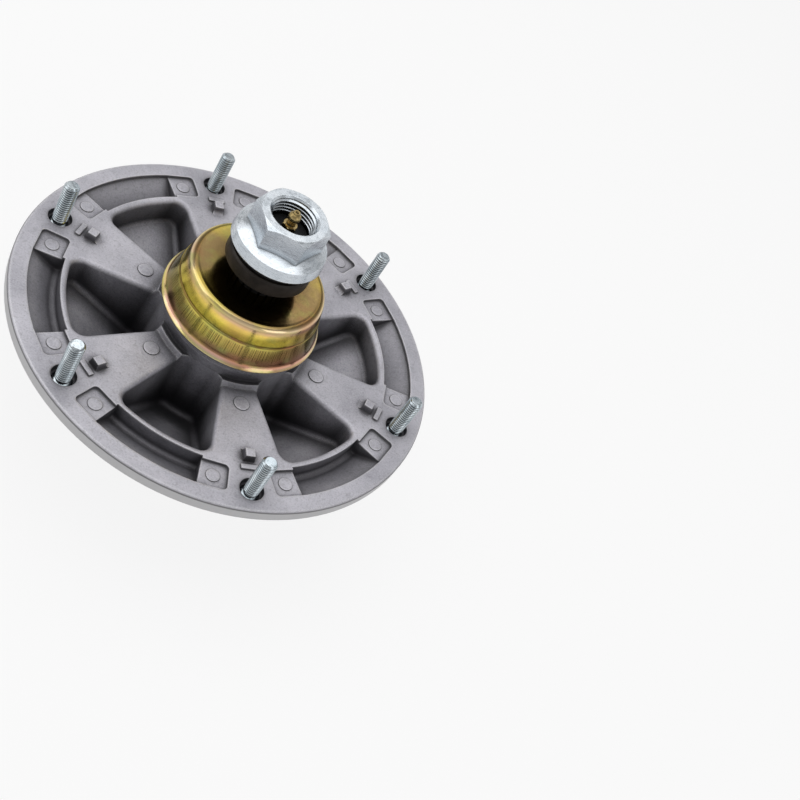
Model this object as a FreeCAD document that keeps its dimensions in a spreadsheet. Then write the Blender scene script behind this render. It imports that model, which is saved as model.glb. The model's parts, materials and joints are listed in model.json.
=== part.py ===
import FreeCAD, Part
import math
import os
import re
import Sketcher

# Mower deck spindle. The frame has its origin at the centre of the deck face,
# the flange's upper plane, with +Z along the spindle axis towards the pulley end.

# Driving dimensions, in millimetres and degrees
SIZES = {
    # Cast flange, studs and their bosses
    "flange_dia": 228,
    "rim_thickness": 7.4,
    "rim_edge": 0.9,
    "stud_count": 6,
    "stud_circle": 203.2,
    "stud_thread": 8,
    "stud_length": 23.6,
    "stud_chamfer": 1.1,
    "stud_neck_dia": 10.4,
    "stud_neck_drop": 2.6,
    "stud_neck_chamfer": 0.85,
    "stud_head_dia": 13,
    "stud_head_height": 3.2,
    "stud_seat_clearance": 0.5,
    "stud_relief_dia": 12.6,
    "stud_relief_depth": 3.4,
    "boss_dia": 18,
    "boss_depth": 8.6,
    # Hub of the casting
    "hub_top_dia": 68.4,
    "hub_top_height": 33.5,
    "hub_taper_height": 18,
    "hub_neck_dia": 77,
    "hub_neck_height": 8,
    "hub_lower_dia": 80,
    "hub_bottom_depth": 61.5,
    "hub_bore_dia": 54,
    "lip_width": 2.6,
    "lip_slope": 1.4,
    "lip_height": 2.4,
    # Pockets and spokes
    "spoke_angle": 25,
    "pocket_outer_dia": 171,
    "pocket_depth_outer": 13.5,
    "pocket_depth_inner": 36,
    "pocket_draft": 4,
    "pocket_corner": 6,
    "pocket_fillet": 3,
    "pocket_edge": 2.5,
    "pocket_rim_edge": 0.9,
    "floor_wall": 4.8,
    "spoke_plate": 5.5,
    "core_wall": 4.5,
    "core_inner_dia": 98,
    "core_outer_dia": 160,
    "core_corner": 3,
    # Arc slots, pads and cast marks
    "slot_inner_dia": 177.6,
    "slot_outer_dia": 209.8,
    "slot_depth_inner": 9.5,
    "slot_depth_outer": 2.2,
    "slot_valley": 3,
    "slot_margin_angle": 15,
    "slot_fillet": 1.8,
    "pad_circle": 194.6,
    "pad_angle": 11,
    "pad_size": 14.6,
    "pad_overrun": 4,
    "pad_depth": 1.5,
    "pad_corner": 2.4,
    "mark_height": 0.4,
    "pad_mark_dia": 7,
    "spoke_mark_dia": 8,
    "spoke_mark_circle": 103,
    "lug_circle": 166,
    "lug_size": 6.4,
    "lug_height": 3.8,
    "lug_draft": 10,
    "bar_circle": 179,
    "bar_length": 9,
    "bar_width": 2.6,
    "bar_height": 1,
    # Ball bearings
    "bearing_bore": 30,
    "bearing_od": 62,
    "bearing_width": 16,
    "race_edge": 0.8,
    "race_gap": 6,
    "ball_dia": 9.525,
    "ball_count": 9,
    "track_clearance": 0.25,
    "cage_thickness": 2.6,
    "cage_web": 1.4,
    "cage_clearance": 0.15,
    "seal_thickness": 0.9,
    "seal_inset": 0.3,
    "seal_clearance": 0.25,
    "upper_seat_height": 16,
    "lower_seat_depth": 42,
    # Retaining ring under the lower bearing
    "clip_thickness": 1.8,
    "clip_width": 3,
    "clip_groove": 1.3,
    "clip_clearance": 0.1,
    "clip_gap_angle": 26,
    "clip_lug_angle": 5,
    "clip_lug_inset": 1.4,
    "clip_lug_dia": 5.6,
    "clip_eye_dia": 2.2,
    # Shaft
    "shaft_end_height": 72.5,
    "shaft_chamfer": 1.4,
    "thread_dia": 24,
    "spline_dia": 28,
    "spline_top_height": 48,
    "spline_count": 20,
    "spline_depth": 1,
    "shoulder_dia": 38,
    "shoulder_height": 6,
    "blade_flange_dia": 60,
    "blade_flange_thickness": 10,
    "blade_flange_edge": 1.5,
    "blade_hole_dia": 14,
    "blade_hole_depth": 34,
    "blade_hole_chamfer": 1.5,
    "grease_bore": 5,
    "grease_port": 3,
    "bearing_spacer_wall": 3.5,
    # Pressed covers
    "cover_top_height": 39.5,
    "cover_top_dia": 71.2,
    "cover_wall": 1.6,
    "cover_edge": 3.2,
    "cover_seam_dia": 75.6,
    "cover_seam_height": 28.3,
    "cover_seam_step": 0.5,
    "cover_skirt_dia": 81.2,
    "cover_skirt_height": 17,
    "cover_rim_dia": 85.6,
    "cover_rim_height": 14,
    "cover_clearance": 0.1,
    "cover_spacer_wall": 5,
    "shield_gap": 2,
    "shield_wall": 1.5,
    "shield_skirt": 9.5,
    "shield_edge": 2.4,
    # Clamping stack on the threaded end
    "collar_dia": 44.8,
    "collar_height": 8.6,
    "collar_edge": 0.9,
    "washer_dia": 41.6,
    "washer_height": 5.1,
    "washer_thickness": 3,
    "washer_edge": 0.75,
    "washer_crown": 1.5,
    "thread_clearance": 0.2,
    "nut_flats": 34,
    "nut_turn": -80.5,
    "nut_height": 21.3,
    "nut_flange_dia": 49,
    "nut_flange_top_dia": 47.2,
    "nut_flange_height": 5.6,
    "nut_cone_height": 2.6,
    "nut_chamfer_angle": 37,
    "nut_mouth": 1,
    # Grease fitting in the shaft end
    "fitting_thread": 6,
    "fitting_shank": 6.5,
    "fitting_flats": 7,
    "fitting_hex_height": 4.5,
    "fitting_neck_dia": 4.4,
    "fitting_neck": 2.2,
    "fitting_head_dia": 6.5,
    "fitting_head_height": 5.8,
    "fitting_head_rise": 1.75,
    "fitting_head_band": 1.45,
    "fitting_tip_dia": 3.4,
    "fitting_bore": 3.2,
    "fitting_feed_bore": 2.2,
    "fitting_mouth": 1.6,
    "fitting_roof": 1,
    "check_ball_dia": 2.6,
    "check_ball_clearance": 0.15,
    "check_spring_wire": 0.35,
    "check_spring_height": 5.4,
    "check_spring_turns": 6,
}

# Radii and heights that several pieces share
JOURNAL_R = "bearing_bore / 2"
HOUSING_SEAT_R = "bearing_od / 2"
PITCH_R = "(bearing_bore + bearing_od) / 4"
LOWER_BEARING_Z = "-lower_seat_depth - bearing_width"
SHOULDER_BASE_Z = f"{LOWER_BEARING_Z} - shoulder_height"
SHAFT_BASE_Z = f"{SHOULDER_BASE_Z} - blade_flange_thickness"
UPPER_BEARING_TOP = "upper_seat_height + bearing_width"
COVER_BASE_Z = "cover_top_height - cover_wall"
COLLAR_TOP = "spline_top_height + collar_height"
WASHER_TOP = f"{COLLAR_TOP} + washer_height"
NUT_TOP = f"{WASHER_TOP} + nut_height"
THREAD_HOLE_R = "thread_dia / 2 + thread_clearance"
GREASE_PORT_Z = "(upper_seat_height - lower_seat_depth) / 2"
FITTING_HEAD_Z = "shaft_end_height + fitting_hex_height + fitting_neck"
FITTING_TOP = f"{FITTING_HEAD_Z} + fitting_head_height"
CHECK_BALL_Z = f"{FITTING_TOP} - fitting_roof - check_ball_dia / 2 - check_ball_clearance"
CHECK_SPRING_Z = f"{CHECK_BALL_Z} - check_ball_dia / 2 - check_spring_height"
FLOOR_SLOPE = "(pocket_depth_inner - pocket_depth_outer) / (pocket_outer_dia - hub_neck_dia) * 2"
HALF_PITCH = "180 / stud_count"

# Room that a cutting tool has beyond the face it cuts through
CUT_ROOM = 5
# How far a raised mark is rooted in the casting below it
MARK_ROOT = 1
# Distance within which a vertex counts as lying on a given circle or plane
NEAR = 1e-4

doc = FreeCAD.newDocument("mower_deck_spindle")
sheet = doc.addObject("Spreadsheet::Sheet", "sizes")
for row, (alias, value) in enumerate(SIZES.items(), start=1):
    sheet.set(f"A{row}", alias)
    sheet.set(f"B{row}", str(value))
    sheet.setAlias(f"B{row}", alias)
doc.recompute()


def bound(text):
    """Expression text with each driving dimension taken from the sheet."""
    return re.sub(r"[a-z_]+", lambda word: f"sizes.{word[0]}" if word[0] in SIZES else word[0], str(text))


def tie(feature, **properties):
    """Bind properties of a feature to expressions."""
    for name, text in properties.items():
        feature.setExpression(name, bound(text))


def new_body(label):
    body = doc.addObject("PartDesign::Body", label)
    body.Label = label
    return body


def origin(body, role):
    return next(item for item in body.Origin.OriginFeatures if item.Role == role)


def new_sketch(body, name, role, height=None):
    """Sketch on a plane of the body's origin, raised along its normal if a height is given."""
    sketch = body.newObject("Sketcher::SketchObject", f"{body.Label}_{name}_sketch")
    sketch.AttachmentSupport = [(origin(body, role), "")]
    sketch.MapMode = "FlatFace"
    if height is not None:
        sketch.setExpression("AttachmentOffset.Base.z", bound(height))
    return sketch


def place(sketch, geometry, vertex, x, y):
    """Hold one vertex of a sketch at bound coordinates."""
    for kind, text in (("DistanceX", x), ("DistanceY", y)):
        index = sketch.addConstraint(Sketcher.Constraint(kind, -1, 1, geometry, vertex, 1.0))
        sketch.setExpression(f"Constraints[{index}]", bound(text))


def polygon(sketch, corners):
    """Closed outline through corners whose coordinates are expressions."""
    count = len(corners)
    first = len(sketch.Geometry)
    for index in range(count):
        ends = []
        for step in (index, index + 1):
            turn = 2 * math.pi * step / count
            ends.append(FreeCAD.Vector(2 + math.cos(turn), math.sin(turn), 0))
        sketch.addGeometry(Part.LineSegment(*ends))
    for index in range(count):
        following = first + (index + 1) % count
        sketch.addConstraint(Sketcher.Constraint("Coincident", first + index, 2, following, 1))
    for index, (x, y) in enumerate(corners):
        place(sketch, first + index, 1, x, y)


def circle(sketch, x, y, radius):
    index = sketch.addGeometry(Part.Circle(FreeCAD.Vector(1, 1, 0), FreeCAD.Vector(0, 0, 1), 1))
    place(sketch, index, 3, x, y)
    rule = sketch.addConstraint(Sketcher.Constraint("Radius", index, 1.0))
    sketch.setExpression(f"Constraints[{rule}]", bound(radius))


def revolve(body, name, corners, cut=False, axis=None):
    """Turn an outline in the XZ plane about Z, or about a line at the given radius."""
    sketch = new_sketch(body, name, "XZ_Plane")
    if axis is not None:
        line = sketch.addGeometry(Part.LineSegment(FreeCAD.Vector(1, 0, 0), FreeCAD.Vector(1, 1, 0)), True)
        place(sketch, line, 1, axis, "0")
        place(sketch, line, 2, axis, "1")
    polygon(sketch, corners)
    kind = "PartDesign::Groove" if cut else "PartDesign::Revolution"
    feature = body.newObject(kind, f"{body.Label}_{name}")
    feature.Profile = sketch
    feature.ReferenceAxis = (sketch, ["V_Axis" if axis is None else "Axis0"])
    feature.Angle = 360
    doc.recompute()
    return feature


def pad(body, name, sketch, length, down=False, taper=None):
    feature = body.newObject("PartDesign::Pad", f"{body.Label}_{name}")
    feature.Profile = sketch
    feature.Reversed = down
    tie(feature, Length=length)
    if taper is not None:
        tie(feature, TaperAngle=taper)
    doc.recompute()
    return feature


def pocket_through(body, name, sketch):
    """Cut a sketch through the whole body, to both sides."""
    feature = body.newObject("PartDesign::Pocket", f"{body.Label}_{name}")
    feature.Profile = sketch
    feature.Type = "ThroughAll"
    feature.Midplane = True
    doc.recompute()
    return feature


def around(body, name, count, features=None):
    """Repeat features, or the whole body so far, about Z."""
    feature = body.newObject("PartDesign::PolarPattern", f"{body.Label}_{name}")
    if features is None:
        feature.TransformMode = "Whole shape"
    else:
        feature.Originals = features
    feature.Axis = (origin(body, "Z_Axis"), [""])
    feature.Angle = 360
    tie(feature, Occurrences=count)
    body.Tip = feature
    doc.recompute()
    return feature


def fillet(body, name, base, radius, chosen):
    """Round the edges of a feature for which chosen(edge) is true."""
    feature = body.newObject("PartDesign::Fillet", f"{body.Label}_{name}")
    edges = enumerate(base.Shape.Edges, start=1)
    feature.Base = (base, [f"Edge{number}" for number, edge in edges if chosen(edge)])
    tie(feature, Radius=radius)
    doc.recompute()
    return feature


def corner_rings(feature, indexes):
    """Test for the circular edges that given corners of a turned outline make."""
    rings = [feature.Profile[0].getPoint(index, 1) for index in indexes]

    def chosen(edge):
        if not isinstance(edge.Curve, Part.Circle):
            return False
        ends = [(edge.Curve.Radius - ring.x, edge.Curve.Center.z - ring.y) for ring in rings]
        return any(abs(across) < NEAR and abs(along) < NEAR for across, along in ends)

    return chosen


def upright(edge):
    """Whether an edge runs from one height to another."""
    heights = [vertex.Z for vertex in edge.Vertexes]
    return max(heights) - min(heights) > NEAR


def turned_piece(label, corners, height=None):
    """Piece turned from one outline, set at a height if one is given."""
    body = new_body(label)
    if height is not None:
        tie(body, **{"Placement.Base.z": height})
    return body, revolve(body, "profile", corners)


def hexagon(sketch, flats, turn="0"):
    """Hexagon about the origin whose first flat faces the given angle."""
    radius = f"({flats}) / sqrt(3)"
    angles = [f"({turn}) + {30 + 60 * index}" for index in range(6)]
    polygon(sketch, [(f"{radius} * cos({angle})", f"{radius} * sin({angle})") for angle in angles])


def boolean(kind, label, base, tool):
    feature = doc.addObject(f"Part::{kind}", label)
    feature.Label = label
    feature.Base = base
    feature.Tool = tool
    doc.recompute()
    return feature


# Cast housing

def floor_height(radius):
    """Height of the pockets' sloping floor at a radius, as an expression."""
    return f"-pocket_depth_outer - (pocket_outer_dia / 2 - ({radius})) * {FLOOR_SLOPE}"


def casting_blank():
    """Hub, dished web and ring as one turned shape, with the stud bosses below."""
    body = new_body("casting_blank")
    neck = "hub_neck_dia / 2"
    lip = f"{neck} + lip_width"
    rim = "flange_dia / 2"
    web_edge = f"pocket_outer_dia / 2 + (pocket_depth_outer + floor_wall - rim_thickness) / ({FLOOR_SLOPE})"
    lower = "hub_lower_dia / 2"
    revolve(body, "section", [
        (HOUSING_SEAT_R, "hub_top_height"),
        ("hub_top_dia / 2", "hub_top_height"),
        ("hub_top_dia / 2", "hub_taper_height"),
        (neck, "hub_neck_height"),
        (neck, "lip_height"),
        (lip, "lip_height"),
        (f"{lip} + lip_slope", "0"),
        (f"{rim} - rim_edge", "0"),
        (rim, "-rim_edge"),
        (rim, "-rim_thickness + rim_edge"),
        (f"{rim} - rim_edge", "-rim_thickness"),
        (web_edge, "-rim_thickness"),
        (lower, f"{floor_height(lower)} - floor_wall"),
        (lower, "-hub_bottom_depth"),
        (HOUSING_SEAT_R, "-hub_bottom_depth"),
        (HOUSING_SEAT_R, "-lower_seat_depth"),
        ("hub_bore_dia / 2", "-lower_seat_depth"),
        ("hub_bore_dia / 2", "upper_seat_height"),
        (HOUSING_SEAT_R, "upper_seat_height"),
    ])
    groove_top = f"{LOWER_BEARING_Z} + clip_clearance"
    groove_base = f"{LOWER_BEARING_Z} - clip_thickness - clip_clearance"
    groove_r = f"{HOUSING_SEAT_R} + clip_groove + clip_clearance"
    revolve(body, "clip_groove", [
        (f"{HOUSING_SEAT_R} - clip_groove", groove_base),
        (groove_r, groove_base),
        (groove_r, groove_top),
        (f"{HOUSING_SEAT_R} - clip_groove", groove_top),
    ], cut=True)
    sketch = new_sketch(body, "boss", "XY_Plane", "-boss_depth")
    circle(sketch, "stud_circle / 2", "0", "boss_dia / 2")
    boss = pad(body, "boss", sketch, "boss_depth - rim_thickness / 2")
    around(body, "bosses", "stud_count", [boss])
    return body


def pocket_tool():
    """Pockets between the spokes: drafted sides, rounded corners and a sloping floor."""
    body = new_body("pocket_tool")
    top = f"(lip_height + {MARK_ROOT})"
    base = f"(-pocket_depth_inner - {CUT_ROOM})"
    inner = "hub_neck_dia / 2"
    outer = "pocket_outer_dia / 2"
    half = f"({HALF_PITCH} - spoke_angle / 2)"
    start = f"({HALF_PITCH} - {half})"
    end = f"({HALF_PITCH} + {half})"
    near = f"({inner} / 2)"
    far = f"(({outer} + {CUT_ROOM}) / cos({half}))"
    sketch = new_sketch(body, "mouth", "XY_Plane", top)
    polygon(sketch, [(f"{radius} * cos({angle})", f"{radius} * sin({angle})")
                     for radius, angle in ((near, start), (far, start), (far, end), (near, end))])
    pad(body, "block", sketch, f"{top} - {base}", down=True, taper="-pocket_draft")
    lean = "tan(pocket_draft)"
    inner_foot = f"({inner} + pocket_depth_inner * {lean})"
    outer_foot = f"({outer} - pocket_depth_outer * {lean})"
    section = revolve(body, "section", [
        ("1", f"{top} + {MARK_ROOT}"),
        (f"{inner} - ({top} + {MARK_ROOT}) * {lean}", f"{top} + {MARK_ROOT}"),
        (inner_foot, floor_height(inner_foot)),
        (outer_foot, floor_height(outer_foot)),
        (f"{outer} + ({top} + {MARK_ROOT}) * {lean}", f"{top} + {MARK_ROOT}"),
        (f"{far} + {CUT_ROOM}", f"{top} + {MARK_ROOT}"),
        (f"{far} + {CUT_ROOM}", f"{base} - {CUT_ROOM}"),
        ("1", f"{base} - {CUT_ROOM}"),
    ], cut=True)
    mouth_height = section.Shape.BoundBox.ZMax

    def at_mouth(edge):
        return sum(abs(vertex.Z - mouth_height) < NEAR for vertex in edge.Vertexes)

    corners = fillet(body, "corners", section, "pocket_corner", lambda edge: at_mouth(edge) == 1)
    fillet(body, "floor_edge", corners, "pocket_fillet", lambda edge: at_mouth(edge) == 0)
    around(body, "pattern", "stud_count")
    return body


def core_tool():
    """Cores that hollow the spokes from below."""
    body = new_body("core_tool")
    sketch = new_sketch(body, "mouth", "XY_Plane", "-spoke_plate")
    corners = []
    for radius, side in (("core_inner_dia", -1), ("core_outer_dia", -1),
                         ("core_outer_dia", 1), ("core_inner_dia", 1)):
        half_width = f"({radius} / 2 * tan(spoke_angle / 2) - core_wall)"
        corners.append((f"{radius} / 2", f"{side} * {half_width}"))
    polygon(sketch, corners)
    block = pad(body, "block", sketch, "hub_bottom_depth", down=True)
    fillet(body, "corners", block, "core_corner", upright)
    around(body, "pattern", "stud_count")
    return body


def slot_tool():
    """Arc slots in the ring, their floor falling towards the hub."""
    body = new_body("slot_tool")
    sketch = new_sketch(body, "section", "XZ_Plane")
    inner = "slot_inner_dia / 2"
    outer = "slot_outer_dia / 2"
    polygon(sketch, [
        (inner, CUT_ROOM),
        (inner, "-slot_depth_inner"),
        (f"{inner} + slot_valley", "-slot_depth_inner"),
        (outer, "-slot_depth_outer"),
        (outer, CUT_ROOM),
    ])
    arc = body.newObject("PartDesign::Revolution", "slot_tool_arc")
    arc.Profile = sketch
    arc.ReferenceAxis = (sketch, ["V_Axis"])
    arc.Midplane = True
    tie(arc, Angle=f"2 * ({HALF_PITCH} - slot_margin_angle)")
    doc.recompute()
    fillet(body, "valley", arc, "slot_fillet", corner_rings(arc, (1, 2)))
    around(body, "pattern", "stud_count")
    turn = f"rotation(vector(0; 0; 1); {HALF_PITCH})"
    tie(body, Placement=f"placement(vector(0; 0; 0); {turn})")
    return body


def pad_corners(sense):
    """Corners of a pad on one side of a stud, square but for its overrun into the slot."""
    turn = f"({sense} * pad_angle)"
    far = f"({sense} * pad_size / -2)"
    near = f"({sense} * (pad_size / 2 + pad_overrun))"
    corners = []
    for across, side in ((-1, far), (1, far), (1, near), (-1, near)):
        radial = f"(pad_circle / 2 + {across} * pad_size / 2)"
        corners.append((f"{radial} * cos({turn}) - {side} * sin({turn})",
                        f"{radial} * sin({turn}) + {side} * cos({turn})"))
    return corners


def pad_tool():
    """Shallow square pads at both ends of every slot."""
    body = new_body("pad_tool")
    sketch = new_sketch(body, "squares", "XY_Plane", "-pad_depth")
    for sense in (1, -1):
        polygon(sketch, pad_corners(sense))
    block = pad(body, "block", sketch, f"pad_depth + {CUT_ROOM}")
    fillet(body, "corners", block, "pad_corner", upright)
    around(body, "pattern", "stud_count")
    return body


def cast_marks():
    """Raised marks of the casting: discs on pads and spokes, a lug and a bar at each stud."""
    body = new_body("cast_marks")
    discs = new_sketch(body, "pad_discs", "XY_Plane", f"-pad_depth - {MARK_ROOT}")
    for turn in ("pad_angle", "-pad_angle"):
        circle(discs, f"pad_circle / 2 * cos({turn})", f"pad_circle / 2 * sin({turn})", "pad_mark_dia / 2")
    pad(body, "pad_discs", discs, f"{MARK_ROOT} + mark_height")
    spot = new_sketch(body, "spoke_disc", "XY_Plane", -MARK_ROOT)
    circle(spot, "spoke_mark_circle / 2", "0", "spoke_mark_dia / 2")
    pad(body, "spoke_disc", spot, f"{MARK_ROOT} + mark_height")
    for name, centre, deep, wide, high, draft in (
            ("lug", "lug_circle / 2", "lug_size", "lug_size", "lug_height", "-lug_draft"),
            ("bar", "bar_circle / 2", "bar_width", "bar_length", "bar_height", None)):
        sketch = new_sketch(body, name, "XY_Plane", -MARK_ROOT)
        polygon(sketch, [(f"{centre} + {across} * {deep} / 2", f"{along} * {wide} / 2")
                         for across, along in ((-1, -1), (1, -1), (1, 1), (-1, 1))])
        pad(body, name, sketch, f"{MARK_ROOT} + {high}", taper=draft)
    around(body, "pattern", "stud_count")
    return body


def stud_hole_tool():
    """Stepped holes for the studs: a seat for the head, a press fit for the neck and a wider mouth."""
    body = new_body("stud_hole_tool")
    axis = "stud_circle / 2"
    seat = f"{axis} + stud_head_dia / 2 + stud_seat_clearance"
    revolve(body, "section", [
        (axis, CUT_ROOM),
        (axis, "-pocket_depth_inner"),
        (seat, "-pocket_depth_inner"),
        (seat, "-boss_depth"),
        (f"{axis} + stud_neck_dia / 2", "-boss_depth"),
        (f"{axis} + stud_neck_dia / 2", "-stud_relief_depth"),
        (f"{axis} + stud_relief_dia / 2", "-stud_relief_depth"),
        (f"{axis} + stud_relief_dia / 2", CUT_ROOM),
    ], axis=axis)
    around(body, "pattern", "stud_count")
    return body


def mouth_edges(shape):
    """Edges of the pockets' mouths, each with the rounding at its first and last vertex."""
    outer = sheet.pocket_outer_dia / 2
    inner = sheet.hub_neck_dia / 2 + sheet.lip_width + sheet.lip_slope
    rim_edge = min(sheet.pocket_rim_edge, (sheet.slot_inner_dia / 2 - outer) / 3)
    chosen = []
    for number, edge in enumerate(shape.Edges, start=1):
        radii = [math.hypot(end.X, end.Y) for end in edge.Vertexes]
        level = all(abs(end.Z) < NEAR for end in edge.Vertexes)
        within = inner + NEAR < min(radii) and max(radii) < outer + NEAR
        if level and within and len(radii) == 2 and not isinstance(edge.Curve, Part.Line):
            roundings = [rim_edge if abs(radius - outer) < NEAR else sheet.pocket_edge for radius in radii]
            chosen.append((number, *roundings))
    return chosen


def housing():
    shape = casting_blank()
    for tool in (pocket_tool(), core_tool(), slot_tool(), pad_tool()):
        shape = boolean("Cut", f"casting_less_{tool.Label}", shape, tool)
    shape = boolean("Fuse", "casting_with_marks", shape, cast_marks())
    shape = boolean("Cut", "casting_drilled", shape, stud_hole_tool())
    finished = doc.addObject("Part::Fillet", "housing")
    finished.Label = "housing"
    finished.Base = shape
    finished.Edges = mouth_edges(shape.Shape)
    doc.recompute()
    return finished


# Studs pressed into the flange from below

def mounting_studs():
    body = new_body("mounting_studs")
    axis = "stud_circle / 2"
    thread = f"{axis} + stud_thread / 2"
    neck = f"{axis} + stud_neck_dia / 2"
    head = f"{axis} + stud_head_dia / 2"
    revolve(body, "section", [
        (axis, "stud_length"),
        (axis, "-boss_depth - stud_head_height"),
        (head, "-boss_depth - stud_head_height"),
        (head, "-boss_depth"),
        (neck, "-boss_depth"),
        (neck, "-stud_neck_drop - stud_neck_chamfer"),
        (thread, "-stud_neck_drop"),
        (thread, "stud_length - stud_chamfer"),
        (f"{thread} - stud_chamfer", "stud_length"),
    ], axis=axis)
    around(body, "pattern", "stud_count")
    return body


# Ball bearings, drawn upright from their lower face

def race(label, height, seat, shoulder, sense):
    """Race ring with its ball track; sense is +1 for the outer ring and -1 for the inner."""
    body, _ = turned_piece(label, [
        (shoulder, "0"),
        (f"{seat} - {sense} * race_edge", "0"),
        (seat, "race_edge"),
        (seat, "bearing_width - race_edge"),
        (f"{seat} - {sense} * race_edge", "bearing_width"),
        (shoulder, "bearing_width"),
    ], height)
    sketch = new_sketch(body, "track", "XZ_Plane")
    circle(sketch, PITCH_R, "bearing_width / 2", "ball_dia / 2 + track_clearance")
    track = body.newObject("PartDesign::Groove", f"{label}_track")
    track.Profile = sketch
    track.ReferenceAxis = (sketch, ["V_Axis"])
    track.Angle = 360
    doc.recompute()
    return body


def ball_ring(label, height):
    """Ring of balls on the pitch circle."""
    body = new_body(label)
    tie(body, **{"Placement.Base.z": height})
    sketch = new_sketch(body, "half", "XZ_Plane")
    axis = sketch.addGeometry(Part.LineSegment(FreeCAD.Vector(1, 0, 0), FreeCAD.Vector(1, 2, 0)), True)
    full = Part.Circle(FreeCAD.Vector(1, 1, 0), FreeCAD.Vector(0, 0, 1), 1)
    arc = sketch.addGeometry(Part.ArcOfCircle(full, -math.pi / 2, math.pi / 2))
    chord = sketch.addGeometry(Part.LineSegment(FreeCAD.Vector(1, 2, 0), FreeCAD.Vector(1, 0, 0)))
    sketch.addConstraint(Sketcher.Constraint("Coincident", arc, 2, chord, 1))
    sketch.addConstraint(Sketcher.Constraint("Coincident", chord, 2, arc, 1))
    sketch.addConstraint(Sketcher.Constraint("Coincident", axis, 1, arc, 1))
    sketch.addConstraint(Sketcher.Constraint("Coincident", axis, 2, arc, 2))
    place(sketch, arc, 3, PITCH_R, "bearing_width / 2")
    rule = sketch.addConstraint(Sketcher.Constraint("Radius", arc, 1.0))
    sketch.setExpression(f"Constraints[{rule}]", bound("ball_dia / 2"))
    for vertex in (1, 2):
        rule = sketch.addConstraint(Sketcher.Constraint("DistanceX", -1, 1, arc, vertex, 1.0))
        sketch.setExpression(f"Constraints[{rule}]", bound(PITCH_R))
    ball = body.newObject("PartDesign::Revolution", f"{label}_ball")
    ball.Profile = sketch
    ball.ReferenceAxis = (sketch, ["Axis0"])
    ball.Angle = 360
    doc.recompute()
    around(body, "pattern", "ball_count")
    return body


def cage(label, height):
    """Cage ring with a round window for each ball."""
    window = "(ball_dia / 2 + cage_clearance)"
    half = f"({window} + cage_web)"
    body, _ = turned_piece(label, [
        (f"{PITCH_R} - cage_thickness / 2", f"bearing_width / 2 - {half}"),
        (f"{PITCH_R} + cage_thickness / 2", f"bearing_width / 2 - {half}"),
        (f"{PITCH_R} + cage_thickness / 2", f"bearing_width / 2 + {half}"),
        (f"{PITCH_R} - cage_thickness / 2", f"bearing_width / 2 + {half}"),
    ], height)
    sketch = new_sketch(body, "window", "YZ_Plane")
    circle(sketch, "0", "bearing_width / 2", window)
    cut = body.newObject("PartDesign::Pocket", f"{label}_window")
    cut.Profile = sketch
    cut.Reversed = True
    tie(cut, Length=f"{PITCH_R} + cage_thickness")
    doc.recompute()
    around(body, "windows", "ball_count", [cut])
    return body


def bearing(name, height, seal_above):
    """Races, balls, cage and the seal on the outer side of one bearing."""
    inner_shoulder = f"{PITCH_R} - race_gap / 2"
    outer_shoulder = f"{PITCH_R} + race_gap / 2"
    if seal_above:
        seal_base = "bearing_width - seal_inset - seal_thickness"
    else:
        seal_base = "seal_inset"
    seal, _ = turned_piece(f"{name}_bearing_seal", [
        (f"{inner_shoulder} + seal_clearance", seal_base),
        (outer_shoulder, seal_base),
        (outer_shoulder, f"{seal_base} + seal_thickness"),
        (f"{inner_shoulder} + seal_clearance", f"{seal_base} + seal_thickness"),
    ], height)
    return [
        race(f"{name}_bearing_outer_race", height, HOUSING_SEAT_R, outer_shoulder, 1),
        race(f"{name}_bearing_inner_race", height, JOURNAL_R, inner_shoulder, -1),
        ball_ring(f"{name}_bearing_balls", height),
        cage(f"{name}_bearing_cage", height),
        seal,
    ]


def retaining_ring():
    """Open spring ring in the hub groove below the lower bearing, with two plier eyes."""
    body = new_body("retaining_ring")
    outer = f"{HOUSING_SEAT_R} + clip_groove"
    inner = f"{outer} - clip_width"
    base = f"{LOWER_BEARING_Z} - clip_thickness"
    sketch = new_sketch(body, "ring", "XY_Plane", base)
    circle(sketch, "0", "0", outer)
    circle(sketch, "0", "0", inner)
    pad(body, "ring", sketch, "clip_thickness")
    lugs = new_sketch(body, "lugs", "XY_Plane", base)
    eyes = new_sketch(body, "eyes", "XY_Plane", base)
    for sign in (-1, 1):
        angle = f"{sign} * (clip_gap_angle / 2 + clip_lug_angle)"
        centre = [f"({inner} - clip_lug_inset) * {function}({angle})" for function in ("cos", "sin")]
        circle(lugs, *centre, "clip_lug_dia / 2")
        circle(eyes, *centre, "clip_eye_dia / 2")
    pad(body, "lugs", lugs, "clip_thickness")
    pocket_through(body, "eyes", eyes)
    gap = new_sketch(body, "gap", "XY_Plane", base)
    reach = f"{outer} + {CUT_ROOM}"
    polygon(gap, [
        ("0", "0"),
        (reach, f"-({reach}) * tan(clip_gap_angle / 2)"),
        (reach, f"({reach}) * tan(clip_gap_angle / 2)"),
    ])
    pocket_through(body, "gap", gap)
    return body


# Shaft and the pieces that turn with it

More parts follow.
